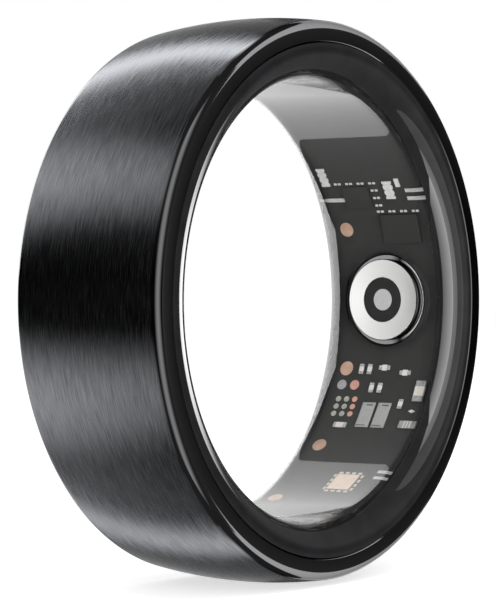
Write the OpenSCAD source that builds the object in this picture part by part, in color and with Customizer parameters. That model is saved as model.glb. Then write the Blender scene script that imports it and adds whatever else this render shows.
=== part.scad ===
// Smart ring: a black metal band lined with clear resin, through which its electronics show.
// The finger hole runs along Y, the sensor looks inwards from the +X side, and +Z is up.
// The origin is the centre of the finger hole. Lengths are in millimetres, angles in degrees.
// An angle is counted round the finger hole from the sensor (+X) towards the top (+Z).

/* [Ring] */
// Diameter of the finger hole
bore_d = 19.8; // [19:0.1:20.6]
// Width of the band along the finger
band_w = 7.84; // [7.6:0.02:8.4]
// Thickness of the band, from the finger hole to the crown
wall_t = 2.8; // [2.7:0.05:3.2]
// Radius of the crown across the band
crown_r = 23.5; // [18:0.5:40]
// Radius of the polished edge between the crown and the side face
edge_r = 0.42; // [0.25:0.01:0.5]

/* [Shell] */
// Thickness of the metal under the crown
shell_t = 0.72; // [0.6:0.02:0.8]
// Width of the flat rims that close the shell at both sides
rim_t = 0.57; // [0.5:0.01:0.65]
// Depth of the rims, from the crown in to the resin
rim_depth = 1.27; // [1.2:0.01:1.35]
// Bevel on the inner edge of each rim
rim_bevel = 0.06; // [0.03:0.01:0.1]

/* [Lining] */
// Width of each rounded lip along the finger
lip_w = 1.49; // [1.4:0.01:1.6]
// Thickness of the resin over the parts
liner_t = 0.32; // [0.24:0.01:0.34]
// Fullness of the rounded lips, where 2 is an ellipse
lip_power = 2.5; // [2:0.1:3]

/* [Circuit board] */
// Depth of the space for the parts between the lining and the board
parts_depth = 0.43; // [0.42:0.01:0.5]
// Thickness of the flexible board
board_t = 0.12; // [0.08:0.01:0.15]
// Gap between each edge of the board and the shell
board_gap = 0.4; // [0.3:0.01:0.45]
// Angle that the board spans
board_span = 232; // [226:1:236]

/* [Sensor] */
// Diameter of the bright bezel
bezel_d = 3.95; // [3.8:0.05:4.2]
// Height of the bezel over the middle of the finger hole's wall
bezel_proud = 0.2; // [0.14:0.01:0.2]
// Diameter of the dark window
window_d = 2.16; // [1.9:0.02:2.2]
// Diameter of the light guide
guide_d = 1.04; // [0.8:0.02:1.1]
// Width of the base ring that shows round the bezel
base_w = 0.23; // [0.2:0.01:0.26]
// Thickness of the black gasket round the base
gasket_t = 0.09; // [0.06:0.01:0.12]

/* [Battery] */
// Gap between each side of the curved cell and the shell
cell_gap = 0.45; // [0.4:0.05:0.8]
// Angle between the board's tail and the cell's seal, bridged by the cell's tabs
tab_angle = 3; // [2:0.5:8]

/* [Hidden] */

$fn = 96;
// Segments of each fillet, of the crown and of each lip
fillet_steps = 6;
crown_steps = 20;
lip_steps = 12;
// Overrun of every cut
over = 0.5;
// Gap left between parts that are bonded or soldered together
bond = 0.02;

// Radii of the ring, from the finger hole outwards
bore_r = bore_d / 2;
ring_r = bore_r + wall_t;
half_w = band_w / 2;
rim_r = ring_r - rim_depth;
channel_r = ring_r - shell_t;
channel_half = half_w - rim_t;

// Crown and edge fillet: the fillet touches the side face and the crown
crown_centre = ring_r - crown_r;
fillet_y = half_w - edge_r;
fillet_x = crown_centre + sqrt(pow(crown_r - edge_r, 2) - pow(fillet_y, 2));
tangent_angle = atan2(fillet_y, fillet_x - crown_centre);

// Resin lining: its lips run from the straight land out to the rims
land_half = half_w - lip_w;
lip_depth = rim_r - bore_r;
liner_out_r = bore_r + liner_t;
recess_slope_w = 0.65;
recess_slope_d = 0.28;
recess_half = channel_half - recess_slope_w;

// Board and what is soldered to it
board_in_r = liner_out_r + parts_depth;
board_out_r = board_in_r + board_t;
board_half = channel_half - board_gap;
board_w = 2 * board_half;
tail_angle = 4;
backfill_angle = 2;

// Sensor, measured outwards from its bright front
bezel_x = bore_r - bezel_proud;
bezel_t = 0.22;
bezel_bevel = 0.04;
neck_inset = 0.2;
neck_d = bezel_d - 2 * neck_inset;
neck_wall = 0.35;
base_d = bezel_d + 2 * base_w;
well_d = base_d + 2 * gasket_t + 2 * bond;
base_h = 0.395;
window_sink = 0.02;
window_t = 0.26;
module_w = 1.7;
module_h = 0.38;
gasket_rise = 0.02;
// Distance of the sensor from the middle of the band's width
sensor_along = 0.07;

// Large chips: length round the ring, width along the finger, height
radio_size = [1.45, 2.1, 0.2];
radio_gap = 0.6;
radio_share = -0.178;
controller_size = [1.15, 1.5, 0.18];
controller_gap = 0.21;
controller_share = 0.176;

// Solder joints along two sides of the controller and the top of the radio chip
joint_size = [0.12, 0.17, 0.06];
joint_gap = 0.06;
joint_clear = 0.12;
joint_share = 0.1136;
joint_turn_gap = 0.3;
joints_in_row = 4;
joints_at_side = 3;

// Distances round the board, from the middle of the sensor up to the chips and their joints
radio_arc = well_d / 2 + radio_gap + radio_size[0] / 2;
low_arc = radio_arc + radio_size[0] / 2 + joint_clear + joint_size[0] / 2;
controller_arc = low_arc + joint_size[0] / 2 + controller_gap + controller_size[0] / 2;
top_arc = controller_arc + controller_size[0] / 2 + joint_clear + joint_size[0] / 2;

// Motion sensor with a gilt lid, and the pads round it
motion_size = [1.28, 1.28, 0.12];
motion_angle = -57.5;
motion_share = -0.097;
motion_pad = [0.22, 0.14, 0.05];
motion_pad_gap = 0.06;
motion_between_gap = 0.14;
motion_pads_a_side = 4;

// Pair of crystals in grey metal cans
crystal_size = [1.42, 0.74, 0.14];
crystal_angle = -32.8;
crystal_share = -0.021;
crystal_gap = 0.17;
crystal_lid_inset = 0.05;
crystal_lid_t = 0.04;

// Small ceramic chips, as [angle, share of the board's width]
chip_size = [0.52, 0.24, 0.12];
chip_end = 0.13;
upright_shares = [[-19.2, 0.22], [-19.2, 0.139], [-24.5, 0.081], [-24.5, 0], [-29.1, -0.245]];
diode_size = [0.62, 0.3, 0.12];
diode_end = 0.17;
lying_shares = [[-18.7, -0.006], [-20, -0.215]];
resistor_size = [0.72, 0.3, 0.12];
resistor_angle = -36.2;
resistor_share = 0.271;
resistor_end = 0.14;

// Reservoir capacitor, power inductor and diode
reservoir_size = [1.1, 0.5, 0.14];
reservoir_angle = -25.2;
reservoir_share = -0.391;
reservoir_end = 0.3;
inductor_size = [0.9, 0.42, 0.14];
inductor_angle = -35.4;
inductor_share = -0.377;
inductor_end = 0.2;
zener_size = [0.2, 0.36, 0.1];
zener_angle = -31.2;
zener_share = -0.375;

// White ceramic blocks, with notches along their sides
antenna_size = [1.06, 0.46, 0.14];
antenna_rise = 0.44;
antenna_share = 0.447;
filter_size = [0.98, 0.52, 0.14];
filter_drop = 0.4;
filter_share = -0.152;
matching_size = [0.48, 0.24, 0.12];
matching_share = -0.253;
notch_r = 0.06;
notch_gap = 0.18;

// Bare pads on the board
pad_t = 0.03;
test_pad_d = 0.74;
test_pad_shares = [[19.4, 0.37], [-19.1, 0.373], [-43.2, 0.378], [-67.1, 0.386]];
probe_pad_d = 0.52;
probe_angle = -23.8;
ground_share = 0.385;
supply_share = 0.257;
program_pad_d = 0.3;
program_angle = -30.3;
program_share = 0.2975;
program_gap = 0.18;
program_turn_gap = 0.12;
program_rows = 3;

// Spring tabs that reach past the board's edges to the shell
tab_t = 0.06;
tab_w = 0.2;
tab_tip_w = 0.13;
tab_clear = 0.05;
near_tab_drops = [0.46, 0.905];
near_tab_share = 0.305;
low_tab_shares = [[-52.2, 0.338], [-54.7, 0.338]];
far_tab_drop = 0.92;
far_tab_gap = 0.06;

// Battery, with its seal and tabs at one end, and the charging coil over it
cell_angle = 180;
cell_edge_r = 0.3;
seal_angle = 3;
seal_t = 0.4;
insulator_t = 0.06;
cell_tab_w = 0.9;
cell_tab_t = 0.08;
cell_tab_share = 0.414;
tab_foot_angle = 1;
coil_gap = 0.06;
trace_w = 0.3;
trace_t = 0.06;
trace_step = 0.01;
trace_gap = 0.26;
trace_margin = 0.1;
film_t = 0.06;
film_inset = 0.15;
film_inset_angle = 1;
ferrite_t = 0.1;
cell_w = 2 * (channel_half - cell_gap);
cell_tab_y = cell_tab_share * cell_w / 2;
tail_w = 2 * cell_tab_y + cell_tab_w;
film_w = cell_w - 2 * film_inset;
film_r = liner_out_r + coil_gap + trace_t + 2 * trace_step;
cell_in_r = film_r + film_t + ferrite_t + 3 * bond;
cell_out_r = channel_r - insulator_t - 2 * bond;
seal_r = (cell_in_r + cell_out_r) / 2;
cell_span = 360 - board_span - 2 * (tail_angle + tab_angle + seal_angle);
cell_start = cell_angle - cell_span / 2;
ferrite_span = cell_span - 2 * film_inset_angle;
film_span = ferrite_span - 2 * film_inset_angle;

// Points on an arc about a centre, from one angle to another
function arc_points(centre_x, centre_y, r, from, to, steps) =
    [for (i = [0:steps]) let (a = from + (to - from) * i / steps)
        [centre_x + r * cos(a), centre_y + r * sin(a)]];

// One lip of the lining, from the land (t = 0) out to the rim (t = 1)
function lip_point(t) =
    [rim_r - lip_depth * pow(cos(90 * t), 2 / lip_power),
     land_half + lip_w * pow(sin(90 * t), 2 / lip_power)];

// Both lips are drawn towards +Y: the near one from the rim in, the far one from the land out
function lip_points(side) =
    [for (i = [0:lip_steps]) let (p = lip_point((side < 0 ? lip_steps - i : i) / lip_steps))
        [p[0], side * p[1]]];

// Angle that a length along the board's inner face takes
function turn_of(length) = length / board_in_r * 180 / PI;

// Radius at which a flat underside of a given length rests in the curve of the board
function seat(across) = sqrt(pow(board_in_r, 2) - pow(across / 2, 2)) - bond;

// Turns a section, drawn as [radius, place along the finger], round the finger hole
module revolve(from = 0, span = 360) {
    rotate([90, 0, 0]) rotate([0, 0, from]) rotate_extrude(angle = span) children();
}

// A strip that follows the ring between two radii
module strip(r_in, r_out, width, middle, span, along = 0) {
    revolve(middle - span / 2, span)
        translate([r_in, -along - width / 2]) square([r_out - r_in, width]);
}

// Moves to a place on the board: X points outwards, Y along the finger and Z round the ring
module at(angle, share) {
    rotate([0, -angle, 0]) translate([0, share * board_w, 0]) children();
}

// A block seated on the board, with its size as [round the ring, along the finger, height]
module block(size) {
    translate([seat(size[0]) - size[2], -size[1] / 2, -size[0] / 2])
        cube([size[2], size[1], size[0]]);
}

// The body of a chip between its metal ends, and the ends by themselves
module chip_body(size, end, lying) {
    across = lying ? size[1] : size[0];
    middle = size[0] - 2 * end;
    round = lying ? size[1] : middle;
    along = lying ? middle : size[1];
    translate([seat(across) - size[2], -along / 2, -round / 2]) cube([size[2], along, round]);
}

module chip_metal(size, end, lying, width) {
    across = lying ? size[1] : size[0];
    shift = (size[0] - end) / 2;
    round = lying ? width : end;
    along = lying ? end : width;
    for (side = [-1, 1])
        translate([seat(across) - size[2], side * (lying ? shift : 0) - along / 2,
            side * (lying ? 0 : shift) - round / 2]) cube([size[2], along, round]);
}

// A ceramic block with notches down both of its long sides
module notched_block(size) {
    pitch = 2 * notch_r + notch_gap;
    count = floor((size[0] / 2 - notch_r) / pitch);
    difference() {
        block(size);
        for (side = [-1, 1], i = [-count:count])
            translate([seat(size[0]) - size[2] - over, side * size[1] / 2, i * pitch])
                rotate([0, 90, 0]) cylinder(r = notch_r, h = size[2] + 2 * over);
    }
}

// A thin round pad
module pad(d) {
    translate([seat(d) - pad_t, 0, 0]) rotate([0, 90, 0]) cylinder(d = d, h = pad_t);
}

// A round piece of the sensor between two distances from the ring's centre
module sensor_disc(d, from, to) {
    translate([from, sensor_along, 0]) rotate([0, 90, 0]) cylinder(d = d, h = to - from);
}

// The bevelled front edge of a round piece of the sensor
module sensor_bevel(d, from) {
    translate([from, sensor_along, 0]) rotate([0, 90, 0])
        cylinder(d1 = d - 2 * bezel_bevel, d2 = d, h = bezel_bevel);
}

module outer_shell() {
    outline = concat(
        [[rim_r + rim_bevel, -half_w]],
        arc_points(fillet_x, -fillet_y, edge_r, -90, -tangent_angle, fillet_steps),
        arc_points(crown_centre, 0, crown_r, -tangent_angle, tangent_angle, crown_steps),
        arc_points(fillet_x, fillet_y, edge_r, tangent_angle, 90, fillet_steps),
        [[rim_r + rim_bevel, half_w], [rim_r, half_w - rim_bevel],
         [rim_r, channel_half], [channel_r, channel_half],
         [channel_r, -channel_half], [rim_r, -channel_half], [rim_r, -half_w + rim_bevel]]);
    color("#1c1c1e") revolve() polygon(outline);
}

module inner_liner() {
    outer_r = rim_r - bond;
    outline = concat(
        lip_points(-1), lip_points(1),
        [[outer_r, half_w], [outer_r, channel_half],
         [liner_out_r + recess_slope_d, channel_half], [liner_out_r, recess_half],
         [liner_out_r, -recess_half], [liner_out_r + recess_slope_d, -channel_half],
         [outer_r, -channel_half], [outer_r, -half_w]]);
    color("#3c3a38", 0.45) difference() {
        revolve() polygon([for (p = outline) [min(p[0], outer_r), p[1]]]);
        sensor_disc(well_d, bezel_x - over, board_out_r);
    }
}

module backfill_resin() {
    span = board_span - 2 * backfill_angle;
    color("#151517")
        strip(board_out_r + bond, channel_r - bond, 2 * channel_half - 2 * bond, 0, span);
}

// The board narrows to a tail at each end, where the cell's tabs are soldered on
module flex_board() {
    color("#383836") difference() {
        strip(board_in_r, board_out_r, board_w, 0, board_span + 2 * tail_angle);
        for (end = [-1, 1], side = [-1, 1])
            rotate([0, -end * board_span / 2, 0]) mirror([0, 0, end < 0 ? 1 : 0])
                mirror([0, side < 0 ? 1 : 0, 0]) translate([board_in_r - over, tail_w / 2, 0])
                    cube([board_t + 2 * over, board_half, board_in_r * sin(2 * tail_angle)]);
    }
}

module sensor_bezel() {
    back_x = seat(base_d) - 2 * bond;
    color("#d8d8d8") difference() {
        union() {
            sensor_bevel(bezel_d, bezel_x);
            sensor_disc(bezel_d, bezel_x + bezel_bevel, bezel_x + bezel_t);
            sensor_disc(neck_d, bezel_x + bezel_t, back_x);
        }
        sensor_disc(window_d, bezel_x - over, back_x + over);
        sensor_disc(neck_d - 2 * neck_wall, bezel_x + window_t + window_sink, back_x + over);
    }
}

module sensor_base() {
    back_x = seat(base_d);
    color("#c4c4c6") difference() {
        union() {
            sensor_bevel(base_d, back_x - base_h);
            sensor_disc(base_d, back_x - base_h + bezel_bevel, back_x);
        }
        sensor_disc(neck_d + 2 * bond, back_x - base_h - over, back_x + over);
    }
}

module sensor_window() {
    color("#2a2a2a") difference() {
        sensor_disc(window_d - 2 * bond, bezel_x + window_sink, bezel_x + window_t);
        sensor_disc(guide_d + 2 * bond, bezel_x - over, bezel_x + window_t + over);
    }
}

module light_guide() {
    color("#b8b8b8")
        sensor_disc(guide_d, bezel_x + window_sink, seat(module_w) - module_h - bond);
}

module sensor_module() {
    color("#2f3a30") translate([0, sensor_along, 0]) block([module_w, module_w, module_h]);
}

module sensor_gasket() {
    back_x = seat(base_d + 2 * gasket_t);
    front_x = seat(base_d) - base_h - gasket_rise;
    color("#0c0c0c") difference() {
        sensor_disc(base_d + 2 * gasket_t, front_x, back_x);
        sensor_disc(base_d + 2 * bond, front_x - over, back_x + over);
    }
}

module controller_chip() {
    color("#303030")
        at(turn_of(controller_arc), controller_share) block(controller_size);
}

module radio_chip() {
    color("#303030") at(turn_of(radio_arc), radio_share) block(radio_size);
}

// Each joint is two small beads of solder side by side, at distances round and along the ring
module joint(arc, along) {
    for (side = [-1, 1])
        at(turn_of(arc), 0) translate([0, along + side * (joint_size[1] + joint_gap) / 2, 0])
            block(joint_size);
}

// One row runs over the controller, one down its side, and one over the radio chip
module chip_solder() {
    pitch = joint_share * board_w;
    turn_pitch = joint_size[0] + joint_turn_gap;
    corner = controller_share * board_w - controller_size[1] / 2 - joint_clear
        - joint_size[1] - joint_gap / 2;
    color("#cfcfcb") union() {
        for (i = [0:joints_in_row - 1]) {
            joint(top_arc, corner + i * pitch);
            joint(low_arc, corner - i * pitch);
        }
        for (i = [1:joints_at_side]) joint(top_arc - i * turn_pitch, corner);
    }
}

module motion_sensor() {
    color("#e8c6a4") at(motion_angle, motion_share) block(motion_size);
}

module motion_pads() {
    reach = motion_size[1] / 2 + motion_pad_gap + motion_pad[1] / 2;
    middle = (motion_pads_a_side - 1) / 2;
    turn = turn_of(motion_size[0] / 2 + motion_pad_gap + motion_pad[1] / 2);
    pitch = motion_pad[0] + motion_between_gap;
    color("#d9d2c4") union() {
        for (side = [-1, 1], i = [0:motion_pads_a_side - 1]) {
            at(motion_angle + (i - middle) * turn_of(pitch), motion_share)
                translate([0, side * reach, 0]) block(motion_pad);
            at(motion_angle + side * turn, motion_share)
                translate([0, (i - middle) * pitch, 0])
                    block([motion_pad[1], motion_pad[0], motion_pad[2]]);
        }
    }
}

module crystal_pair() {
    lid = [crystal_size[0] - 2 * crystal_lid_inset, crystal_size[1] - 2 * crystal_lid_inset];
    middle_y = (crystal_size[1] + crystal_gap) / 2;
    color("#8f9190") for (side = [-1, 1])
        at(crystal_angle, crystal_share) translate([0, side * middle_y, 0]) union() {
            block([crystal_size[0], crystal_size[1], crystal_size[2] - crystal_lid_t]);
            translate([seat(crystal_size[0]) - crystal_size[2], -lid[1] / 2, -lid[0] / 2])
                cube([crystal_size[2], lid[1], lid[0]]);
        }
}

module chip_bodies() {
    color("#d6d4cc") union() {
        for (p = upright_shares) at(p[0], p[1]) chip_body(chip_size, chip_end, false);
        for (p = lying_shares) at(p[0], p[1]) chip_body(diode_size, diode_end, true);
    }
}

module chip_ends() {
    color("#bfbfbd") union() {
        for (p = upright_shares)
            at(p[0], p[1]) chip_metal(chip_size, chip_end, false, chip_size[1]);
        for (p = lying_shares)
            at(p[0], p[1]) chip_metal(diode_size, diode_end, true, diode_size[1] * 3 / 4);
    }
}

module resistor_body() {
    color("#dedcd6") at(resistor_angle, resistor_share)
        chip_body(resistor_size, resistor_end, true);
}

module resistor_ends() {
    color("#bfbfbd") at(resistor_angle, resistor_share)
        chip_metal(resistor_size, resistor_end, true, resistor_size[1]);
}

module reservoir_body() {
    color("#e6dfcf") at(reservoir_angle, reservoir_share)
        chip_body(reservoir_size, reservoir_end, false);
}

module reservoir_ends() {
    color("#a9aaa9") at(reservoir_angle, reservoir_share)
        chip_metal(reservoir_size, reservoir_end, false, reservoir_size[1]);
}

module inductor_body() {
    color("#c9c8c4") at(inductor_angle, inductor_share)
        chip_body(inductor_size, inductor_end, true);
}

module inductor_ends() {
    color("#9c9d9d") at(inductor_angle, inductor_share)
        chip_metal(inductor_size, inductor_end, true, inductor_size[1]);
}

module zener_diode() {
    color("#e4e4e0") at(zener_angle, zener_share)
        translate([seat(zener_size[0]), 0, 0]) rotate([0, -90, 0]) linear_extrude(zener_size[2])
            polygon([[-zener_size[0] / 2, 0], [0, -zener_size[1] / 2],
                [zener_size[0] / 2, 0], [0, zener_size[1] / 2]]);
}

module chip_antenna() {
    color("#e2e2dc")
        at(turn_of(top_arc + antenna_rise), antenna_share) notched_block(antenna_size);
}

module band_filter() {
    color("#dadad4")
        at(turn_of(top_arc - filter_drop), filter_share) notched_block(filter_size);
}

module matching_coil() {
    color("#d6d6d0") at(turn_of(top_arc), matching_share) block(matching_size);
}

module test_pads() {
    color("#d6a684") for (p = test_pad_shares) at(p[0], p[1]) pad(test_pad_d);
}

module ground_pad() {
    color("#9aa0a6") at(probe_angle, ground_share) pad(probe_pad_d);
}

module supply_pad() {
    color("#dc8f78") at(probe_angle, supply_share) pad(probe_pad_d);
}

module program_pads() {
    middle = (program_rows - 1) / 2;
    pitch = program_pad_d + program_gap;
    turn_pitch = program_pad_d + program_turn_gap;
    color("#b9b29c") for (row = [0:program_rows - 1], column = [0:program_rows - 1])
        at(program_angle + (row - middle) * turn_of(turn_pitch), program_share)
            translate([0, (column - middle) * pitch, 0]) pad(program_pad_d);
}

// A flat tab soldered to the board, with a narrow tip that springs out to the shell's rim
module spring_tab(angle, start, side) {
    reach = channel_half - tab_clear;
    foot_r = seat(tab_w);
    rotate([0, -angle, 0]) mirror([0, side < 0 ? 1 : 0, 0]) union() {
        translate([foot_r - tab_t, start, -tab_w / 2]) cube([tab_t, board_half - start, tab_w]);
        translate([foot_r - tab_t, start, -tab_tip_w / 2])
            cube([tab_t, reach - start, tab_tip_w]);
    }
}

module near_tabs() {
    color("#e0e0dc") union() {
        for (drop = near_tab_drops)
            spring_tab(turn_of(top_arc - drop), near_tab_share * board_w, -1);
        for (p = low_tab_shares) spring_tab(p[0], p[1] * board_w, -1);
    }
}

module far_tab() {
    start = controller_share * board_w + controller_size[1] / 2 + far_tab_gap;
    color("#e0e0dc") spring_tab(turn_of(top_arc - far_tab_drop), start, 1);
}

// The cell's section has rounded corners, as the pouch of a curved cell does
module cell_section() {
    high = cell_out_r - cell_in_r;
    middle_r = (cell_in_r + cell_out_r) / 2;
    flat = cell_w / 2 - cell_edge_r;
    rise = high / 2 - cell_edge_r;
    polygon(concat(
        arc_points(middle_r + rise, flat, cell_edge_r, 0, 90, fillet_steps),
        arc_points(middle_r - rise, flat, cell_edge_r, 90, 180, fillet_steps),
        arc_points(middle_r - rise, -flat, cell_edge_r, 180, 270, fillet_steps),
        arc_points(middle_r + rise, -flat, cell_edge_r, 270, 360, fillet_steps)));
}

module battery_cell() {
    color("#2e2f31") union() {
        revolve(cell_start, cell_span) cell_section();
        strip(seal_r - seal_t / 2, seal_r + seal_t / 2, cell_w - 2 * cell_edge_r,
            cell_start, 2 * seal_angle);
    }
}

// Two nickel tabs from the seal of the cell to the tail of the board
module battery_tabs() {
    tab_start = board_span / 2 + tail_angle - tab_foot_angle;
    tab_end = cell_start - seal_angle - turn_of(bond);
    color("#75736e") for (side = [-1, 1]) union() {
        strip(seal_r - cell_tab_t / 2, seal_r + cell_tab_t / 2, cell_tab_w,
            (tab_start + tab_end) / 2, tab_end - tab_start, side * cell_tab_y);
        strip(board_out_r + bond, seal_r + cell_tab_t / 2, cell_tab_w,
            tab_start, tab_foot_angle, side * cell_tab_y);
    }
}

module cell_insulator() {
    color("#222224")
        strip(channel_r - bond - insulator_t, channel_r - bond, cell_w, cell_angle, cell_span);
}

module ferrite_sheet() {
    sheet_r = film_r + film_t + bond;
    color("#26262a") strip(sheet_r, sheet_r + ferrite_t, film_w, cell_angle, ferrite_span);
}

module coil_film() {
    color("#2a2a2b") strip(film_r, film_r + film_t, film_w, cell_angle, film_span);
}

// A leg of the coil along the finger, at an angle from the middle of the cell
module coil_leg(angle, low, high) {
    rotate([0, -cell_angle - angle, 0])
        translate([film_r - trace_t - 2 * trace_step, low - trace_w / 2, -trace_w / 2])
            cube([trace_t, high - low + trace_w, trace_w]);
}

// A leg of the coil round the ring, at a place along the finger
module coil_run(along, from, to) {
    top_r = film_r - trace_t - trace_step;
    strip(top_r, top_r + trace_t, trace_w, cell_angle + (from + to) / 2, to - from, along);
}

// The coil is one copper trace that winds inwards in square turns on its film
module charging_coil() {
    to_angle = 180 / PI / film_r;
    pitch = trace_w + trace_gap;
    half = film_w / 2 - trace_margin - trace_w / 2;
    reach = film_span / 2 - (trace_margin + trace_w / 2) * to_angle;
    last = floor((half - pitch / 2) / pitch);
    color("#5c3a28") union() for (turn = [0:last]) {
        y = half - turn * pitch;
        a = reach - turn * pitch * to_angle;
        coil_run(y, -a, turn == 0 ? a : a + pitch * to_angle);
        coil_leg(-a, -y, y);
        coil_run(-y, -a, a);
        if (turn < last) coil_leg(a, -y, y - pitch);
    }
}

outer_shell();
inner_liner();
backfill_resin();
flex_board();
sensor_bezel();
sensor_base();
sensor_window();
light_guide();
sensor_module();
sensor_gasket();
controller_chip();
radio_chip();
chip_solder();
motion_sensor();
motion_pads();
crystal_pair();
chip_bodies();
chip_ends();
resistor_body();
resistor_ends();
reservoir_body();
reservoir_ends();
inductor_body();
inductor_ends();
zener_diode();
chip_antenna();
band_filter();
matching_coil();
test_pads();
ground_pad();
supply_pad();
program_pads();
near_tabs();
far_tab();
battery_cell();
battery_tabs();
cell_insulator();
ferrite_sheet();
coil_film();
charging_coil();
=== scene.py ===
import math

import bmesh
import bpy
from mathutils import Matrix, Vector


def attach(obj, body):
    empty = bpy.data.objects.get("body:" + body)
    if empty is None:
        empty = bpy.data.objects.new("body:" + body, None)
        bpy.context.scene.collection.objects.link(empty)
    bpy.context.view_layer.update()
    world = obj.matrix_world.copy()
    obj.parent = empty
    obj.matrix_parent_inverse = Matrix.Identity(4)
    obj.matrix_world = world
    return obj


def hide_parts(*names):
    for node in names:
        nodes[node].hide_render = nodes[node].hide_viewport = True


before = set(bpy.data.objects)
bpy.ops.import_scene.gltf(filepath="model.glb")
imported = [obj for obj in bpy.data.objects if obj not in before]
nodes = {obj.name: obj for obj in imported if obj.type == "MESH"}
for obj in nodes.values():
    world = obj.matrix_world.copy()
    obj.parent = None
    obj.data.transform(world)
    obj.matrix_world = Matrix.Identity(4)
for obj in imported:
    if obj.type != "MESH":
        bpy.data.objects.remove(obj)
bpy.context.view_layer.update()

# Band
# The band is stainless steel, turned to a channel with two rims and coated black in a vacuum.
# Its crown is then brushed round and round, while the edges, rims and bevels stay polished.

MM = 0.001              # the scene is in metres, and every size in this file is in mm
RING_R = 12.7
HALF_W = 3.92
CROWN_R = 23.5          # the curve of the crown across its width
CROWN_STEPS = 40
EDGE_R = 0.42           # the rounded edges between the crown and the flat sides
EDGE_STEPS = 10
RIM_R = 11.43
RIM_BEVEL = 0.06
CHANNEL_R = 11.98
CHANNEL_HALF = 3.35
BRUSH_OVER = 0.08       # how far the brushing runs over the rounded edges
ROUND_STEPS = 480
SHARP_ANGLE = math.radians(30)


def linear(code):
    """The linear colour of an sRGB hex value."""
    parts = [int(code[i:i + 2], 16) / 255 for i in (1, 3, 5)]
    return (*[p / 12.92 if p <= 0.04045 else ((p + 0.055) / 1.055) ** 2.4 for p in parts], 1)


def add(tree, kind, inputs=(), stops=(), **settings):
    """Adds one node with its settings. An input is a value or another node's socket, and the
    stops of a colour ramp are places from 0 to 1 with their sRGB hex values."""
    node = tree.nodes.new("ShaderNode" + kind)
    for name, value in settings.items():
        setattr(node, name, value)
    for name, value in dict(inputs).items():
        if isinstance(value, bpy.types.NodeSocket):
            tree.links.new(value, node.inputs[name])
        else:
            node.inputs[name].default_value = value
    if stops:
        first, *between, last = stops
        for element, (place, code) in zip(node.color_ramp.elements, (first, last)):
            element.position = place
            element.color = linear(code)
        for place, code in between:
            node.color_ramp.elements.new(place).color = linear(code)
    return node


def new_material(name, colour, roughness, metallic=0, **sockets):
    """A Principled material; returns it with its node tree and its shader."""
    material = bpy.data.materials.new(name)
    material.use_nodes = True
    tree = material.node_tree
    shader = tree.nodes["Principled BSDF"]
    values = {"Base Color": linear(colour), "Roughness": roughness, "Metallic": metallic}
    values.update({key.replace("_", " "): value for key, value in sockets.items()})
    for key, value in values.items():
        shader.inputs[key].default_value = value
    return material, tree, shader


def arc(centre, radius, start, end, steps):
    """Points on an arc from one angle to another, in degrees."""
    turns = [math.radians(start + (end - start) * i / steps) for i in range(steps + 1)]
    return [(centre[0] + radius * math.cos(a), centre[1] + radius * math.sin(a)) for a in turns]


def mesh_piece(name, points, faces, materials, kinds):
    """A mesh object from points in mm, smooth where its faces meet at under the sharp angle.
    The kinds say which of the materials each face has."""
    mesh = bpy.data.meshes.new(name)
    mesh.from_pydata([Vector(p) * MM for p in points], [], faces)
    for material in materials:
        mesh.materials.append(material)
    mesh.polygons.foreach_set("material_index", kinds)
    shape = bmesh.new()
    shape.from_mesh(mesh)
    bmesh.ops.recalc_face_normals(shape, faces=shape.faces)
    shape.to_mesh(mesh)
    shape.free()
    mesh.shade_smooth()
    mesh.set_sharp_from_angle(angle=SHARP_ANGLE)
    piece = bpy.data.objects.new(name, mesh)
    bpy.context.scene.collection.objects.link(piece)
    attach(piece, "root")
    return piece


def turned(name, outline, materials, kind_of=lambda point: 0, steps=ROUND_STEPS, axis="Y"):
    """A piece turned round an axis from a closed outline of (radius, place on the axis)."""
    points, faces, kinds = [], [], []
    count = len(outline)
    for i in range(steps):
        turn = 2 * math.pi * i / steps
        for radius, along in outline:
            a, b = radius * math.cos(turn), radius * math.sin(turn)
            points.append((a, along, b) if axis == "Y" else (along, a, b))
    for i in range(steps):
        here, there = i * count, (i + 1) % steps * count
        for j in range(count):
            k = (j + 1) % count
            faces.append((here + j, here + k, there + k, there + j))
            middle = [(outline[j][n] + outline[k][n]) / 2 for n in (0, 1)]
            kinds.append(kind_of(middle))
    return mesh_piece(name, points, faces, materials, kinds)


crown_x = RING_R - CROWN_R
fillet_y = HALF_W - EDGE_R
fillet_x = crown_x + math.sqrt((CROWN_R - EDGE_R) ** 2 - fillet_y ** 2)
tangent = math.degrees(math.atan2(fillet_y, fillet_x - crown_x))
band_outline = [
    (RIM_R + RIM_BEVEL, -HALF_W),
    *arc((fillet_x, -fillet_y), EDGE_R, -90, -tangent, EDGE_STEPS),
    *arc((crown_x, 0), CROWN_R, -tangent, tangent, CROWN_STEPS)[1:],
    *arc((fillet_x, fillet_y), EDGE_R, tangent, 90, EDGE_STEPS)[1:],
    (RIM_R + RIM_BEVEL, HALF_W), (RIM_R, HALF_W - RIM_BEVEL),
    (RIM_R, CHANNEL_HALF), (CHANNEL_R, CHANNEL_HALF),
    (CHANNEL_R, -CHANNEL_HALF), (RIM_R, -CHANNEL_HALF), (RIM_R, RIM_BEVEL - HALF_W)]

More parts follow.
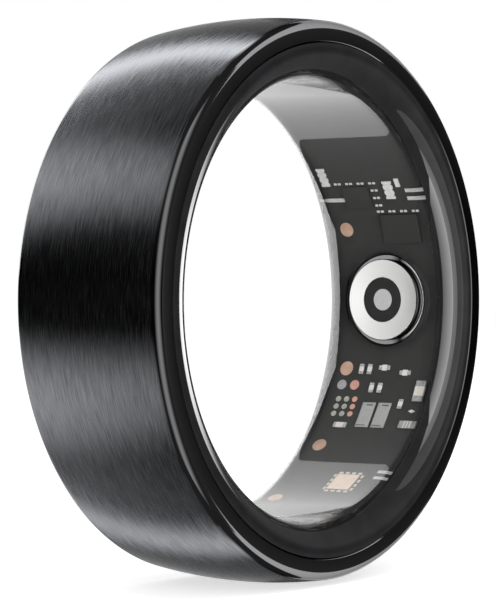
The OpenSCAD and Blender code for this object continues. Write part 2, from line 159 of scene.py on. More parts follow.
# Brushed black coating: short, fine strokes run round the band. They spread each lamp's
# reflection across the band and leave it narrow round it, and the rougher strokes glint
# where the coating is otherwise black.
STROKE_W = 0.05
STROKE_L = 0.9
STROKE_DEPTH = 0.006
EDGE_TINT = linear("#b0b0b0")     # the coating stays dark where it is seen edge on
brushed, tree, shader = new_material("brushed_black_coated_steel", "#4a4b4d", 0.22, 1,
                                     Anisotropic=0.85, Anisotropic_Rotation=0.25,
                                     Specular_Tint=EDGE_TINT)
place = add(tree, "TexCoord")
strokes = add(tree, "Mapping", {"Vector": place.outputs["Object"], "Scale": (
    1 / (STROKE_L * MM), 1 / (STROKE_W * MM), 1 / (STROKE_L * MM))})
scratch = add(tree, "TexNoise", {"Vector": strokes.outputs["Vector"], "Scale": 1.0,
                                 "Detail": 2.0, "Roughness": 0.5})
shade = add(tree, "ValToRGB", {"Fac": scratch.outputs["Fac"]},
            stops=((0.3, "#3e3f41"), (0.72, "#595a5c")))
tree.links.new(shade.outputs["Color"], shader.inputs["Base Color"])
bite = add(tree, "MapRange", {"Value": scratch.outputs["Fac"], "From Min": 0.35,
                              "From Max": 0.7, "To Min": 0.17, "To Max": 0.3})
tree.links.new(bite.outputs["Result"], shader.inputs["Roughness"])
bump = add(tree, "Bump", {"Height": scratch.outputs["Fac"], "Strength": 0.3,
                          "Distance": STROKE_DEPTH * MM})
tree.links.new(bump.outputs["Normal"], shader.inputs["Normal"])
grain = add(tree, "Tangent", direction_type="RADIAL", axis="Y")
tree.links.new(grain.outputs["Tangent"], shader.inputs["Tangent"])

# Polished black coating: the same coating on a buffed edge, a dark mirror with faint clouds.
CLOUD = 1.5
polished, tree, shader = new_material("polished_black_coated_steel", "#4a4a4b", 0.08, 1,
                                      Specular_Tint=EDGE_TINT)
place = add(tree, "TexCoord")
cloud = add(tree, "TexNoise", {"Vector": place.outputs["Object"], "Scale": 1 / (CLOUD * MM),
                               "Detail": 3.0})
haze = add(tree, "MapRange", {"Value": cloud.outputs["Fac"], "To Min": 0.06, "To Max": 0.1})
tree.links.new(haze.outputs["Result"], shader.inputs["Roughness"])


def band_kind(point):
    """0 on the brushed crown, and 1 on the polished rest of the band."""
    return 0 if point[0] > fillet_x and abs(point[1]) < fillet_y + BRUSH_OVER else 1


band = turned("band", band_outline, [brushed, polished], band_kind)
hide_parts("outer_shell")

# Black resin behind the board
# Black epoxy is poured between the board and the band, and holds both together.
# It shows only as a dark edge beside the board.


def mottled(name, first, second, size, roughness, metallic=0, depth=0, stretch=(1, 1, 1),
            **sockets):
    """A material in two close tones, mottled at a size in mm; depth is its relief in mm.
    Returns it with its node tree, its shader and its colour ramp."""
    material, tree, shader = new_material(name, first, roughness, metallic, **sockets)
    place = add(tree, "TexCoord")
    way = add(tree, "Mapping", {"Vector": place.outputs["Object"],
                                "Scale": [1 / (size * MM * part) for part in stretch]})
    blot = add(tree, "TexNoise", {"Vector": way.outputs["Vector"], "Scale": 1.0, "Detail": 3.0})
    tone = add(tree, "ValToRGB", {"Fac": blot.outputs["Fac"]},
               stops=((0.35, first), (0.65, second)))
    tree.links.new(tone.outputs["Color"], shader.inputs["Base Color"])
    if depth:
        relief = add(tree, "Bump", {"Height": blot.outputs["Fac"], "Strength": 1.0,
                                    "Distance": depth * MM})
        tree.links.new(relief.outputs["Normal"], shader.inputs["Normal"])
    return material, tree, shader, tone


def dress(material, *names):
    """Gives CAD nodes their material in every slot."""
    for name in names:
        mesh = nodes[name].data
        mesh.materials.clear()
        mesh.materials.append(material)


dress(mottled("black_potting_epoxy", "#0e0e10", "#17171a", size=0.4, roughness=0.4)[0],
      "backfill_resin")

# Circuit board
# A flexible polyimide board under a matt black solder mask, bent round inside the band.
# The copper under the mask shows as a net of slightly paler lines.

BOARD_R = 10.65         # the board's face, which looks into the finger hole
BOARD_W = 5.9
COPPER_PITCH = 0.9


def painted(tree, shader, mask, under, colour):
    """Lays a colour over a material's own colour where a mask is 1, and returns the result."""
    mix = add(tree, "MixRGB", {"Fac": mask, "Color1": under, "Color2": linear(colour)})
    tree.links.new(mix.outputs["Color"], shader.inputs["Base Color"])
    return mix.outputs["Color"]


board_mask, tree, shader, tone = mottled("black_solder_mask", "#2c2c2b", "#323231", size=0.06,
                                         roughness=0.5, depth=0.001)
place = add(tree, "TexCoord")
copper_lines = add(tree, "TexVoronoi", {"Vector": place.outputs["Object"],
                                        "Scale": 1 / (COPPER_PITCH * MM), "Randomness": 0.6},
                   distance="CHEBYCHEV", feature="F1")
line = add(tree, "MapRange", {"Value": copper_lines.outputs["Distance"], "From Min": 0.3,
                              "From Max": 0.34, "To Min": 0.0, "To Max": 0.35})
painted(tree, shader, line.outputs[0], tone.outputs["Color"], "#363635")
dress(board_mask, "flex_board")

# Sensor
# A turned steel bezel on a polished steel base, with a tinted ring and a milky light guide
# in it. It is pressed into a black silicone gasket, and its module sits on the board.

SENSOR_Y = 0.07
TOOL_MARK = 0.05
DOME = 0.01             # mm of fall per square mm from the middle
BEVEL_FROM = 1.93       # from the bezel's middle to its bevel
BEVEL_BLEND = 0.02
BASE_R = 2.2
BEZEL_EDGE = 0.015      # how far the bezel's edges are rounded
MERGE_GAP = 0.001       # corners closer together than this become one before the rounding
ROUNDED_FROM = math.radians(50)     # edges that bend by more than this are rounded


def soften(name, width, segments=2):
    """Rounds the edges of a CAD node by a width in mm."""
    weld = nodes[name].modifiers.new("weld", "WELD")
    weld.merge_threshold = MERGE_GAP * MM
    edge = nodes[name].modifiers.new("edge", "BEVEL")
    edge.width = width * MM
    edge.segments = segments
    edge.limit_method = "ANGLE"
    edge.angle_limit = ROUNDED_FROM


# Turned steel: fine tool marks run round a face that is slightly domed, so its shine falls
# off from one side of the face to the other. The bevel and the sides are left darker.
turned_steel, tree, shader = new_material("turned_steel", "#d8d8d6", 0.26, 1, Anisotropic=0.6)
place = add(tree, "TexCoord")
centred = add(tree, "VectorMath", {0: place.outputs["Object"], 1: (0, SENSOR_Y * MM, 0)},
              operation="SUBTRACT")
spread = add(tree, "VectorMath", {0: centred.outputs["Vector"], 1: (0, 1, 1)},
             operation="MULTIPLY")
reach = add(tree, "VectorMath", {0: spread.outputs["Vector"]}, operation="LENGTH")
marks = add(tree, "TexNoise", {"W": reach.outputs["Value"], "Scale": 1 / (TOOL_MARK * MM)},
            noise_dimensions="1D")
tone = add(tree, "MixRGB", {"Fac": marks.outputs["Fac"], "Color1": linear("#cfcfcd"),
                            "Color2": linear("#e2e2e0")})
bevel = add(tree, "MapRange", {"Value": reach.outputs["Value"], "From Min": BEVEL_FROM * MM,
                               "From Max": (BEVEL_FROM + BEVEL_BLEND) * MM})
painted(tree, shader, bevel.outputs[0], tone.outputs["Color"], "#666664")
fall = add(tree, "Math", {0: reach.outputs["Value"], 1: reach.outputs["Value"]},
           operation="MULTIPLY")
dome = add(tree, "Math", {0: fall.outputs[0], 1: -DOME / MM}, operation="MULTIPLY")
relief = add(tree, "Bump", {"Height": dome.outputs[0], "Strength": 1.0, "Distance": 1.0})
tree.links.new(relief.outputs["Normal"], shader.inputs["Normal"])
grain = add(tree, "Tangent", direction_type="RADIAL", axis="X")
tree.links.new(grain.outputs["Tangent"], shader.inputs["Tangent"])
dress(turned_steel, "sensor_bezel")
soften("sensor_bezel", BEZEL_EDGE)

# Polished steel: nearly a mirror, with light and shade painted along the base: it is left bright
# at the near side, painted black beside that as a shadow of the bezel, and painted a darker grey
# over the rest.
base_steel, tree, shader, tone = mottled("polished_steel", "#c4c4c6", "#cdcdcf", size=0.5,
                                         roughness=0.12, metallic=1)
place = add(tree, "TexCoord")
spot = add(tree, "SeparateXYZ", {"Vector": place.outputs["Object"]}).outputs
along = add(tree, "MapRange", {"Value": spot["Y"], "From Min": -BASE_R * MM,
                               "From Max": BASE_R * MM})
# painted shade: black beside the near side as the bezel's shadow, and a darker grey over the rest
painted_light_and_shade = add(tree, "ValToRGB", {"Fac": along.outputs[0]}, stops=(
    (0, "#ffffff"), (0.07, "#ffffff"), (0.33, "#000000"), (0.45, "#9a9a9a"), (1, "#9a9a9a")))
shade = add(tree, "MixRGB", {"Fac": 1.0, "Color1": tone.outputs["Color"],
                             "Color2": painted_light_and_shade.outputs["Color"]}, blend_type="MULTIPLY")
tree.links.new(shade.outputs["Color"], shader.inputs["Base Color"])
dress(base_steel, "sensor_base")

# The filter is smooth dark plastic, and the guide a milky acrylic that looks light grey. The
# silicone is a dull deep black, and the module's moulding a dull dark green.
dress(mottled("tinted_filter", "#2f2f2f", "#343434", size=0.3, roughness=0.3)[0],
      "sensor_window")
dress(mottled("milky_acrylic", "#bdbdbd", "#c3c3c3", size=0.12, roughness=0.35)[0],
      "light_guide")
dress(mottled("black_silicone", "#09090a", "#101011", size=0.08, roughness=0.6,
              depth=0.004)[0], "sensor_gasket")
dress(mottled("sensor_moulding", "#2b352c", "#333e34", size=0.05, roughness=0.5,
              depth=0.003)[0], "sensor_module")

# Large chips and their solder
# The controller and the radio chip are moulded in black epoxy, as dull as the board round
# them. Bright beads of solder show along two sides of one and over the other.

BEAD_EDGE = 0.025

dress(mottled("chip_epoxy", "#2c2c2b", "#323231", size=0.04, roughness=0.5, depth=0.001)[0],
      "controller_chip", "radio_chip")
dress(mottled("bright_solder", "#e2e2de", "#fafaf6", size=0.07, roughness=0.35, metallic=0.2,
              depth=0.01)[0], "chip_solder")
soften("chip_solder", BEAD_EDGE, segments=3)

# Motion sensor
# A gilt metal lid with brown flux round its edge, and tinned pads on all four sides.
# The plating is fine-grained, and catches the light as a pale peach.

MOTION_ANGLE = -57.5    # all angles on the board are in degrees from the sensor
MOTION_Y = -0.097 * BOARD_W
MOTION_HALF = 0.64
FLUX_W = 0.025


def mark(tree, angle, along, y, z):
    """A mask that is 1 inside a rectangle on the board. The rectangle reaches from one y to
    another along the finger hole, and from one z to another round it, in mm from a place at
    an angle round the board and along it."""
    a = math.radians(angle)
    place = add(tree, "TexCoord")
    here = add(tree, "Mapping", {
        "Vector": place.outputs["Object"], "Rotation": (0, -a, 0),
        "Location": (BOARD_R * math.cos(a) * MM, along * MM, BOARD_R * math.sin(a) * MM)},
        vector_type="TEXTURE")
    spot = add(tree, "SeparateXYZ", {"Vector": here.outputs["Vector"]}).outputs
    sides = [add(tree, "Math", {0: spot[axis], 1: (low + high) / 2 * MM,
                                2: (high - low) / 2 * MM}, operation="COMPARE").outputs[0]
             for axis, (low, high) in (("Y", y), ("Z", z))]
    return add(tree, "Math", {0: sides[0], 1: sides[1]}, operation="MULTIPLY").outputs[0]


gilt, tree, shader, tone = mottled("gilt_lid", "#ffdbbf", "#ffebd9", size=0.25, roughness=0.4,
                                   metallic=0.05, depth=0.001)
bare_half = MOTION_HALF - FLUX_W
bare = mark(tree, MOTION_ANGLE, MOTION_Y, (-bare_half, bare_half), (-bare_half, bare_half))
flux = add(tree, "Math", {0: 1.0, 1: bare}, operation="SUBTRACT")
painted(tree, shader, flux.outputs[0], tone.outputs["Color"], "#9a7050")
dress(gilt, "motion_sensor")
dress(mottled("tinned_pads", "#d9cfc0", "#f1ece0", size=0.1, roughness=0.35, metallic=0.3,
              depth=0.004)[0], "motion_pads")

# Pair of crystals
# Each crystal is sealed in a matt nickel-plated can, brushed along its length.
# A dark dash marks its first end, and the other end shows a dark seam.

CRYSTAL_ANGLE = -32.8
CRYSTAL_Y = -0.021 * BOARD_W
CRYSTAL_PITCH = 0.91
DASH_Y, DASH_Z = (-0.28, 0.1), (0.51, 0.58)
SEAM_Y, SEAM_Z = (-0.2, 0.3), (-0.63, -0.58)
CAN_EDGE = 0.015

can, tree, shader, tone = mottled("nickel_can", "#babbb8", "#c8c9c6", size=0.05,
                                  roughness=0.45, metallic=0.2, depth=0.001,
                                  stretch=(6, 1, 6))
colour = tone.outputs["Color"]
for side in (-1, 1):
    can_y = CRYSTAL_Y + side * CRYSTAL_PITCH / 2
    dash = mark(tree, CRYSTAL_ANGLE, can_y, DASH_Y, DASH_Z)
    colour = painted(tree, shader, dash, colour, "#5b5c5b")
    seam = mark(tree, CRYSTAL_ANGLE, can_y, SEAM_Y, SEAM_Z)
    colour = painted(tree, shader, seam, colour, "#6a6b69")
dress(can, "crystal_pair")
soften("crystal_pair", CAN_EDGE)

# Small chips
# Fired ceramic, plain bright white, with dipped and tinned ends in a soft grey. The reservoir
# capacitor is cream, and the power inductor's grey winding shows through its glaze as stripes.

CHIP_EDGE = 0.015       # how far the edges of the small chips are rounded
WINDING_PITCH = 0.16

ceramic = mottled("white_ceramic", "#f2f1ec", "#fefefb", size=0.08, roughness=0.35)[0]
tin_end = mottled("tinned_end", "#aeafae", "#dcdcda", size=0.12, roughness=0.4, metallic=0.2,
                  depth=0.004)[0]
grey_end = mottled("grey_tinned_end", "#a2a4a3", "#cccdcb", size=0.16, roughness=0.4,
                   metallic=0.2, depth=0.004)[0]
dress(ceramic, "chip_bodies", "resistor_body", "zener_diode")
dress(tin_end, "chip_ends", "resistor_ends")
dress(grey_end, "reservoir_ends", "inductor_ends")
dress(mottled("cream_ceramic", "#faf4e7", "#fffbf2", size=0.15, roughness=0.35)[0],
      "reservoir_body")

# Glazed ferrite: smooth and nearly white, with grey stripes where the winding shows. A wave
# at scale 1 repeats every pi / 10.
glazed, tree, shader, tone = mottled("striped_ferrite", "#e8e7e4", "#f3f2f0", size=0.1,
                                     roughness=0.3)
place = add(tree, "TexCoord")
winding = add(tree, "TexWave", {"Vector": place.outputs["Object"],
                                "Scale": math.pi / 10 / (WINDING_PITCH * MM)},
              wave_type="BANDS", bands_direction="Y", wave_profile="SIN")
stripe = add(tree, "MapRange", {"Value": winding.outputs["Fac"], "From Min": 0.45,
                                "From Max": 0.6, "To Min": 0.0, "To Max": 0.7})
painted(tree, shader, stripe.outputs[0], tone.outputs["Color"], "#9c9c9b")
dress(glazed, "inductor_body")
for name in ("chip_bodies", "chip_ends", "resistor_body", "resistor_ends", "reservoir_body",
             "reservoir_ends", "inductor_body", "inductor_ends"):
    soften(name, CHIP_EDGE)

# White blocks
# The antenna, the band filter and the matching coil are blocks of glazed white ceramic.
# The glaze is smooth and slightly cloudy.

glaze = mottled("glazed_ceramic", "#e6e6e3", "#fafaf8", size=0.22, roughness=0.3)[0]
for name in ("chip_antenna", "band_filter", "matching_coil"):
    dress(glaze, name)
    soften(name, CHIP_EDGE)

# Bare pads
# Openings in the solder mask: copper test pads that have tarnished to pink, a tinned ground
# pad, a red-tinted supply pad, and nine small pads for programming the controller.

PINK_Y = 1.3            # the middle of the pink column of programming pads
PINK_HALF = 0.2

dress(mottled("bare_copper", "#cfa68e", "#e6c4ac", size=0.5, roughness=0.45,
              metallic=0.1)[0], "test_pads")
dress(mottled("matt_tin", "#b0b0b2", "#c0c0c2", size=0.3, roughness=0.45, metallic=0.1)[0],
      "ground_pad")
dress(mottled("red_tinted_copper", "#e6a99b", "#f2bbae", size=0.3, roughness=0.45,
              metallic=0.1)[0], "supply_pad")

# Tinned copper: a greenish grey, and on one column so thin that the copper tints it pink.
program_pad, tree, shader, tone = mottled("tinned_copper", "#b6b9ad", "#d3d3c7", size=0.16,
                                          roughness=0.45, metallic=0.1)
place = add(tree, "TexCoord")
spot = add(tree, "SeparateXYZ", {"Vector": place.outputs["Object"]}).outputs
pink = add(tree, "Math", {0: spot["Y"], 1: PINK_Y * MM, 2: PINK_HALF * MM},
           operation="COMPARE")
painted(tree, shader, pink.outputs[0], tone.outputs["Color"], "#eeb7a2")
dress(program_pad, "program_pads")

# Spring tabs
# Strips of silver-plated bronze, soldered flat to the board, whose narrow tips bend out to
# touch the shell. The plating is bright and drawn along the strip.

dress(mottled("silver_plate", "#dcdcd8", "#fbfbf8", size=0.08, roughness=0.3, metallic=0.4,
              depth=0.003, stretch=(1, 6, 1))[0], "near_tabs", "far_tab")

# Battery
# A curved lithium cell in a pouch of satin black laminated foil, taped in glossier black
# polyimide on its back, with two dull nickel tabs welded to the board's tail.

dress(mottled("black_foil_pouch", "#29292b", "#323234", size=0.9, roughness=0.35,
              depth=0.02)[0], "battery_cell")
dress(mottled("dull_nickel_strip", "#6d6b67", "#7b7974", size=0.06, roughness=0.45,
              metallic=1, depth=0.001, stretch=(6, 1, 6))[0], "battery_tabs")
dress(mottled("black_polyimide_tape", "#1d1d1f", "#272729", size=0.7, roughness=0.3,
              depth=0.004)[0], "cell_insulator")

# Charging coil
# A flat copper trace etched on black polyimide film, under a coverlay that darkens it to
# brown, over a dull sheet of sintered ferrite that keeps its field out of the cell.

dress(mottled("ferrite_sheet", "#222226", "#2c2c30", size=0.12, roughness=0.6,
              depth=0.004)[0], "ferrite_sheet")
dress(mottled("black_polyimide_film", "#242426", "#2d2d2f", size=0.5, roughness=0.3)[0],
      "coil_film")
dress(mottled("copper_under_coverlay", "#543526", "#63402e", size=0.1, roughness=0.35,
              depth=0.001)[0], "charging_coil")

# Resin lining
# Clear epoxy, slightly smoky, cast over all the electronics and polished by hand. It fills
# the band's channel, and its two rounded lips are tinted black, to hide what lies under them.

BORE_R = 9.9
LIP_W = 1.49
LIP_POWER = 2.5         # 2 makes the lips a quarter ellipse, and more makes them squarer
LIP_STEPS = 40
CLEAR_HALF = 3.05       # the black lips start this far from the middle of the width
BOND = 0.02             # how far the resin reaches into the steel, and stays off its bevel
WELL_D = 4.63           # the well that the sensor stands in
WELL_TOP = 9            # from the ring's axis, inside the finger hole
WELL_FLOOR = 10.64      # from the ring's axis, just short of the board
WELL_STEPS = 192
NEAR_AXIS = 0.001       # where the outline of the well's cutter stops, so that it is closed


def lip(share):
    """A point of a lip, from the finger hole (0) to the rim (1)."""
    turn = math.pi / 2 * share
    return (RIM_R - (RIM_R - BORE_R) * max(0, math.cos(turn)) ** (2 / LIP_POWER),
            HALF_W - LIP_W + LIP_W * math.sin(turn) ** (2 / LIP_POWER))


def lining_kind(point):
    """1 on the black lips, and 0 on the clear rest of the lining."""
    return 1 if abs(point[1]) > CLEAR_HALF and point[0] < RIM_R else 0


lips = [lip(i / LIP_STEPS) for i in range(LIP_STEPS + 1)]
lips = [p for p in lips if p[0] < RIM_R - BOND]
resin_half = lips + [
    (RIM_R - BOND, HALF_W), (RIM_R - BOND, HALF_W - 2 * RIM_BEVEL),
    (RIM_R + BOND, HALF_W - 2 * RIM_BEVEL - BOND), (RIM_R + BOND, CHANNEL_HALF + BOND),
    (CHANNEL_R + BOND, CHANNEL_HALF + BOND)]
resin_outline = [(r, -y) for r, y in reversed(resin_half)] + resin_half

# Clear epoxy: it mirrors and bends what is round it, and takes a little of its light. Light
# that falls on the board passes straight through it, so the board is lit evenly.
resin, tree, shader = new_material("clear_epoxy", "#f0f0f0", 0.0, 0, IOR=1.5,
                                   Transmission_Weight=1.0)
rays = add(tree, "LightPath")
soft = add(tree, "Math", {0: rays.outputs["Is Shadow Ray"], 1: rays.outputs["Is Diffuse Ray"]},
           operation="MAXIMUM")
clear = add(tree, "BsdfTransparent", {"Color": linear("#f0f0f0")})
mix = add(tree, "MixShader", {0: soft.outputs[0], 1: shader.outputs[0], 2: clear.outputs[0]})
tree.links.new(mix.outputs[0], tree.nodes["Material Output"].inputs["Surface"])

# Black epoxy: as glossy as glass, so the lamps lie on it as long highlights.
black_lip = mottled("black_gloss_epoxy", "#111112", "#161617", size=1.2, roughness=0.03,
                    IOR=1.5)[0]

lining = turned("resin_lining", resin_outline, [resin, black_lip], lining_kind)
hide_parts("inner_liner")

cutter = turned("cutter", [(NEAR_AXIS, WELL_TOP), (WELL_D / 2, WELL_TOP),
                           (WELL_D / 2, WELL_FLOOR), (NEAR_AXIS, WELL_FLOOR)],
                [resin], steps=WELL_STEPS, axis="X")
cutter.location.y = SENSOR_Y * MM
cut = lining.modifiers.new("well", "BOOLEAN")
cut.object = cutter
cut.solver = "EXACT"
bpy.context.view_layer.update()
carved = bpy.data.meshes.new_from_object(
    lining.evaluated_get(bpy.context.evaluated_depsgraph_get()))
lining.modifiers.clear()
lining.data = carved
carved.shade_smooth()
carved.set_sharp_from_angle(angle=SHARP_ANGLE)
bpy.data.objects.remove(cutter)

# Floor
# The ring stands on its band on a matt white floor, with the finger hole level. The floor
# glows a little for the camera, so that it is as white as paper and keeps the ring's shadow.

FLOOR_HALF = 600
FLOOR_GLOW = 0.6

scene = bpy.context.scene
scene.view_settings.view_transform = "Standard"
floor_paint, tree, shader = new_material("white_floor", "#ffffff", 0.9)
rays = add(tree, "LightPath")
glow = add(tree, "Math", {0: rays.outputs["Is Camera Ray"], 1: FLOOR_GLOW},
           operation="MULTIPLY")
shader.inputs["Emission Color"].default_value = linear("#ffffff")
tree.links.new(glow.outputs[0], shader.inputs["Emission Strength"])
floor = bpy.data.objects.new("floor", bpy.data.meshes.new("floor"))
floor.data.from_pydata([Vector((x * FLOOR_HALF, y * FLOOR_HALF, -RING_R)) * MM
                        for x, y in ((-1, -1), (1, -1), (1, 1), (-1, 1))], [], [(0, 1, 2, 3)])
floor.data.materials.append(floor_paint)
scene.collection.objects.link(floor)
floor.visible_glossy = False
floor.visible_shadow = False

# Room
# The camera sees plain white. Metal and resin see a dim room, brightest on the picture's right,
# with a white backdrop behind the ring and to its left. Dull surfaces get an even light.

BACKDROP = (10.5, 53)   # its two sides, in degrees from +Y towards +X
BACKDROP_EDGE = 0.002   # how soft its sides are
# The room's light at the ring's own level, then above and below it: where it is brightest, the
# cosines of the angle from there between which it grows, and its dark and its light end
AT_LEVEL = ((0.574, -0.819, 0), 0.94, 1.0, 0.03, 0.4)
OFF_LEVEL = ((0.8, -0.6, 0), 0.0, 1.0, 0.01, 0.25)
AT_LEVEL_TO = 0.03      # where each light ends or starts, as the sine of the angle up or down
OFF_LEVEL_FROM = 0.15
CEILING_FROM = 0.9
CEILING = 0.18          # the light from straight above and below
EVEN_LIGHT = 0.5

world = bpy.data.worlds.new("studio")
scene.world = world
world.use_nodes = True
tree = world.node_tree
tree.nodes.clear()
place = add(tree, "TexCoord")
way = add(tree, "SeparateXYZ", {"Vector": place.outputs["Generated"]})
height = add(tree, "Math", {0: way.outputs["Z"]}, operation="ABSOLUTE")
level_way = add(tree, "VectorMath", {0: place.outputs["Generated"], 1: (1, 1, 0)},
                operation="MULTIPLY")
level_way = add(tree, "VectorMath", {0: level_way.outputs["Vector"]}, operation="NORMALIZE")
turn = math.radians(90 - (BACKDROP[0] + BACKDROP[1]) / 2)
ahead = add(tree, "VectorMath", {0: level_way.outputs["Vector"],
                                 1: (math.cos(turn), math.sin(turn), 0)},
            operation="DOT_PRODUCT")
side = math.cos(math.radians((BACKDROP[1] - BACKDROP[0]) / 2))
backdrop = add(tree, "MapRange", {"Value": ahead.outputs["Value"],
                                  "From Min": side - BACKDROP_EDGE,
                                  "From Max": side + BACKDROP_EDGE})
layers = []
for middle, low, high, dark, light in (AT_LEVEL, OFF_LEVEL):
    front = add(tree, "VectorMath", {0: place.outputs["Generated"], 1: middle},
                operation="DOT_PRODUCT")
    layers.append(add(tree, "MapRange", {"Value": front.outputs["Value"], "From Min": low,
                                         "From Max": high, "To Min": dark, "To Max": light},
                      interpolation_type="SMOOTHSTEP"))
horizon = add(tree, "MapRange", {
    "Value": height.outputs[0], "From Min": AT_LEVEL_TO, "From Max": OFF_LEVEL_FROM,
    "To Min": layers[0].outputs[0], "To Max": layers[1].outputs[0]})
room = add(tree, "MapRange", {
    "Value": height.outputs[0], "From Min": OFF_LEVEL_FROM, "From Max": CEILING_FROM,
    "To Min": horizon.outputs[0], "To Max": CEILING})
seen = add(tree, "Mix", {0: backdrop.outputs[0], 2: room.outputs[0], 3: 1.0})
rays = add(tree, "LightPath")
level = add(tree, "Mix", {0: rays.outputs["Is Diffuse Ray"], 2: seen.outputs[0],
                          3: EVEN_LIGHT})
white = add(tree, "Math", {0: rays.outputs["Is Camera Ray"],
                           1: rays.outputs["Is Transmission Ray"]}, operation="MAXIMUM")
strength = add(tree, "Mix", {0: white.outputs[0], 2: level.outputs[0], 3: 1.0})
sky = add(tree, "Background", {"Color": (1, 1, 1, 1), "Strength": strength.outputs[0]})
add(tree, "OutputWorld", {"Surface": sky.outputs[0]})

# Lamps
# Softboxes that the camera doesn't see. Each lights only some of the pieces: the band, the
# resin, the sensor's steel, or all but the band and the resin.

NEAR = 250              # mm from the ring
FAR = 2000


def linked(name, pieces, state="INCLUDE"):
    """A collection of the only pieces that a lamp lights, or with EXCLUDE that it misses."""
    group = bpy.data.collections.new(name)
    for piece in pieces:
        group.objects.link(piece)
    for entry in group.collection_objects:
        entry.light_linking.link_state = state
    return group


def compass(degrees, rise=0):
    """The direction at an angle from -X towards -Y, and an angle above the floor."""
    a, e = math.radians(degrees), math.radians(rise)
    return (-math.cos(a) * math.cos(e), -math.sin(a) * math.cos(e), math.sin(e))


def softbox(name, towards, distance, size, radiance, lit, upwards=(0, 0, 1), fade=None,
            ramp=None):
    """A rectangular lamp that faces the ring, out of the camera's sight, and lights only
    some pieces. It may fade towards both edges along its "X" or its "Y". A ramp along its "X"
    is two places from 0 to 1, and the level at each."""
    lamp = bpy.data.lights.new(name, "AREA")
    lamp.shape = "RECTANGLE"
    lamp.size, lamp.size_y = size[0] * MM, size[1] * MM
    lamp.energy = radiance * math.pi * lamp.size * lamp.size_y
    box = bpy.data.objects.new(name, lamp)
    back = Vector(towards).normalized()
    side = Vector(upwards).cross(back).normalized()
    turn = Matrix((side, back.cross(side), back)).transposed()
    box.location = back * distance * MM
    box.rotation_euler = turn.to_euler()
    box.visible_camera = False
    box.visible_transmission = False
    box.light_linking.receiver_collection = lit
    scene.collection.objects.link(box)
    if fade or ramp:
        lamp.use_nodes = True
        tree = lamp.node_tree
        level = tree.nodes["Emission"].inputs["Strength"]
        spot = add(tree, "SeparateXYZ", {"Vector": add(tree, "NewGeometry").outputs["Parametric"]})
        start, end, first, last = ramp or (0, 1, 1, 1)
        slope = add(tree, "MapRange", {"Value": spot.outputs["X"], "From Min": start,
                                       "From Max": end, "To Min": first, "To Max": last})
        tree.links.new(slope.outputs["Result"], level)
    if fade:
        share = add(tree, "Math", {0: spot.outputs[fade], 1: 2 * math.pi}, operation="MULTIPLY")
        wave = add(tree, "Math", {0: share.outputs[0]}, operation="COSINE")
        bell = add(tree, "Math", {0: wave.outputs[0], 1: -0.5, 2: 0.5},
                   operation="MULTIPLY_ADD")
        product = add(tree, "Math", {0: bell.outputs[0], 1: slope.outputs["Result"]},
                      operation="MULTIPLY")
        tree.links.new(product.outputs[0], level)


on_band = linked("lamps_on_band", [band])
on_resin = linked("lamps_on_resin", [lining])
on_sensor = linked("lamps_on_sensor", [nodes["sensor_bezel"], nodes["sensor_base"]])
on_parts = linked("lamps_off_band_and_resin", [band, lining], "EXCLUDE")

# Strips across the band: their angle from -X over the top and their width, in degrees, then
# their radiance, and how it falls off along them, from the ring's far side to its near side.
# They stand beyond the far side, and lean, so that their near ends are closer to the level of
# the ring's middle.
EVEN = (0, 1, 2, 0)
STEEP = (0.3, 0.7, 2, 0)
LEAN = 0.39
STRIP_AWAY = 300
STRIP_L = 600
STRIP_OUT = 0.8         # the share of a strip's distance that leads away from the ring's axis
STRIP_BEYOND = 0.6      # and the share that leads along the axis
for name, angle, width, radiance, ramp in (
        ("top_strip", 116, 25, 17, EVEN), ("crown_fill", 92, 70, 0.9, STEEP),
        ("upper_strip", 49, 49, 2.6, EVEN), ("lower_strip", -38.5, 54, 2.45, EVEN),
        ("belly_fill", -80, 76, 0.65, STEEP), ("bottom_strip", -111.5, 28, 6.5, EVEN)):
    turn = math.radians(angle)
    strip_w = 2 * STRIP_AWAY * STRIP_OUT * math.tan(math.radians(width / 2))
    softbox(name, (-STRIP_OUT * math.cos(turn), STRIP_BEYOND, STRIP_OUT * math.sin(turn)),
            STRIP_AWAY, (STRIP_L, strip_w), radiance, on_band,
            (math.sin(turn), math.copysign(LEAN, -turn), math.cos(turn)), fade="Y", ramp=ramp)

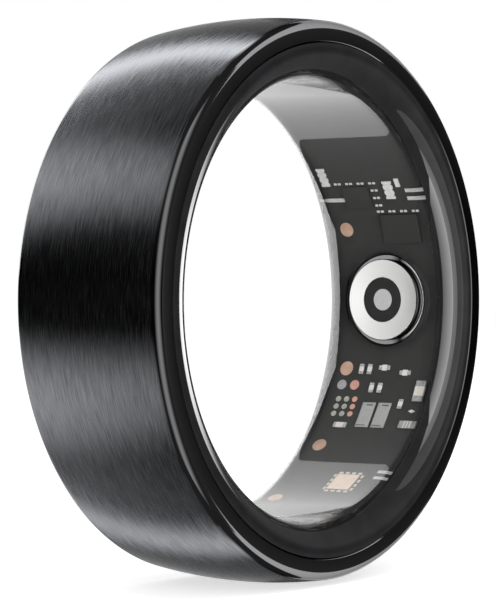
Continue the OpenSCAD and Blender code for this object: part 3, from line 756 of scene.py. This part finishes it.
# Electronics: a key lamp beside the camera, with weaker ones above and below it
softbox("key", compass(50), NEAR, (130, 330), 4.25, on_parts)
softbox("key_above", compass(50, 50), NEAR, (130, 130), 1.8, on_parts)
softbox("key_below", compass(50, -50), NEAR, (130, 130), 1.8, on_parts)

# Resin: walls on the near side, from the camera round to the right, for the broad highlights
softbox("lip_front", compass(41), NEAR, (240, 600), 5, on_resin, ramp=(0, 1, 0.45, 1.55))
softbox("lip_end", compass(78), NEAR, (106, 600), 3.3, on_resin, ramp=(0, 1, 1.2, 0.8))
softbox("lip_last", compass(105), NEAR, (130, 600), 0.8, on_resin)

# Resin: distant walls behind the ring and beside it, for pale bands and thin bright lines
softbox("backdrop", compass(-121.75), FAR, (1555, 9000), 1.6, on_resin, ramp=(0, 0.15, 0.1, 1))
softbox("backdrop_end", compass(-72.75), FAR, (2100, 9000), 1, on_resin,
        ramp=(0, 1, 0.4, 0.02))
softbox("lip_edge", compass(179.5), FAR, (1495, 430), 8.5, on_resin, fade="Y",
        ramp=(0.25, 0.45, 1, 0.85))
softbox("far_lip", (0, 1, 0), FAR / 2, (1930, 1520), 5.6, on_resin, ramp=(0, 0.6, 0.1, 1))

# Sensor: a panel that shines in the bezel's face
softbox("bezel_panel", compass(-57.5), NEAR, (250, 300), 1.45, on_sensor)

# Band's edges: a tall wall at the near side, and a panel above and below the ring
softbox("edge_front", compass(57), NEAR, (420, 900), 2.6, on_band, fade="X")
softbox("edge_top", (0.8, -0.2, 0.535), NEAR, (360, 150), 4.4, on_band)
softbox("edge_bottom", (0.8, -0.2, -0.535), NEAR, (360, 150), 4.4, on_band)

# Camera
# Level with the ring, 53 degrees round from its near side, with the view of the photograph.

CAMERA_AT = (-91.214, -68.139, 0.398)     # with the lens, fitted to the photographed outline

lens = bpy.data.cameras.new("camera")
lens.lens = 150.66
lens.sensor_width = 36
lens.shift_x = -0.0254
lens.shift_y = 0.0004
lens.clip_start = 1 * MM
lens.clip_end = 10000 * MM
camera = bpy.data.objects.new("camera", lens)
camera.location = Vector(CAMERA_AT) * MM
camera.rotation_euler = (-camera.location).to_track_quat("-Z", "Y").to_euler()
scene.collection.objects.link(camera)
scene.camera = camera
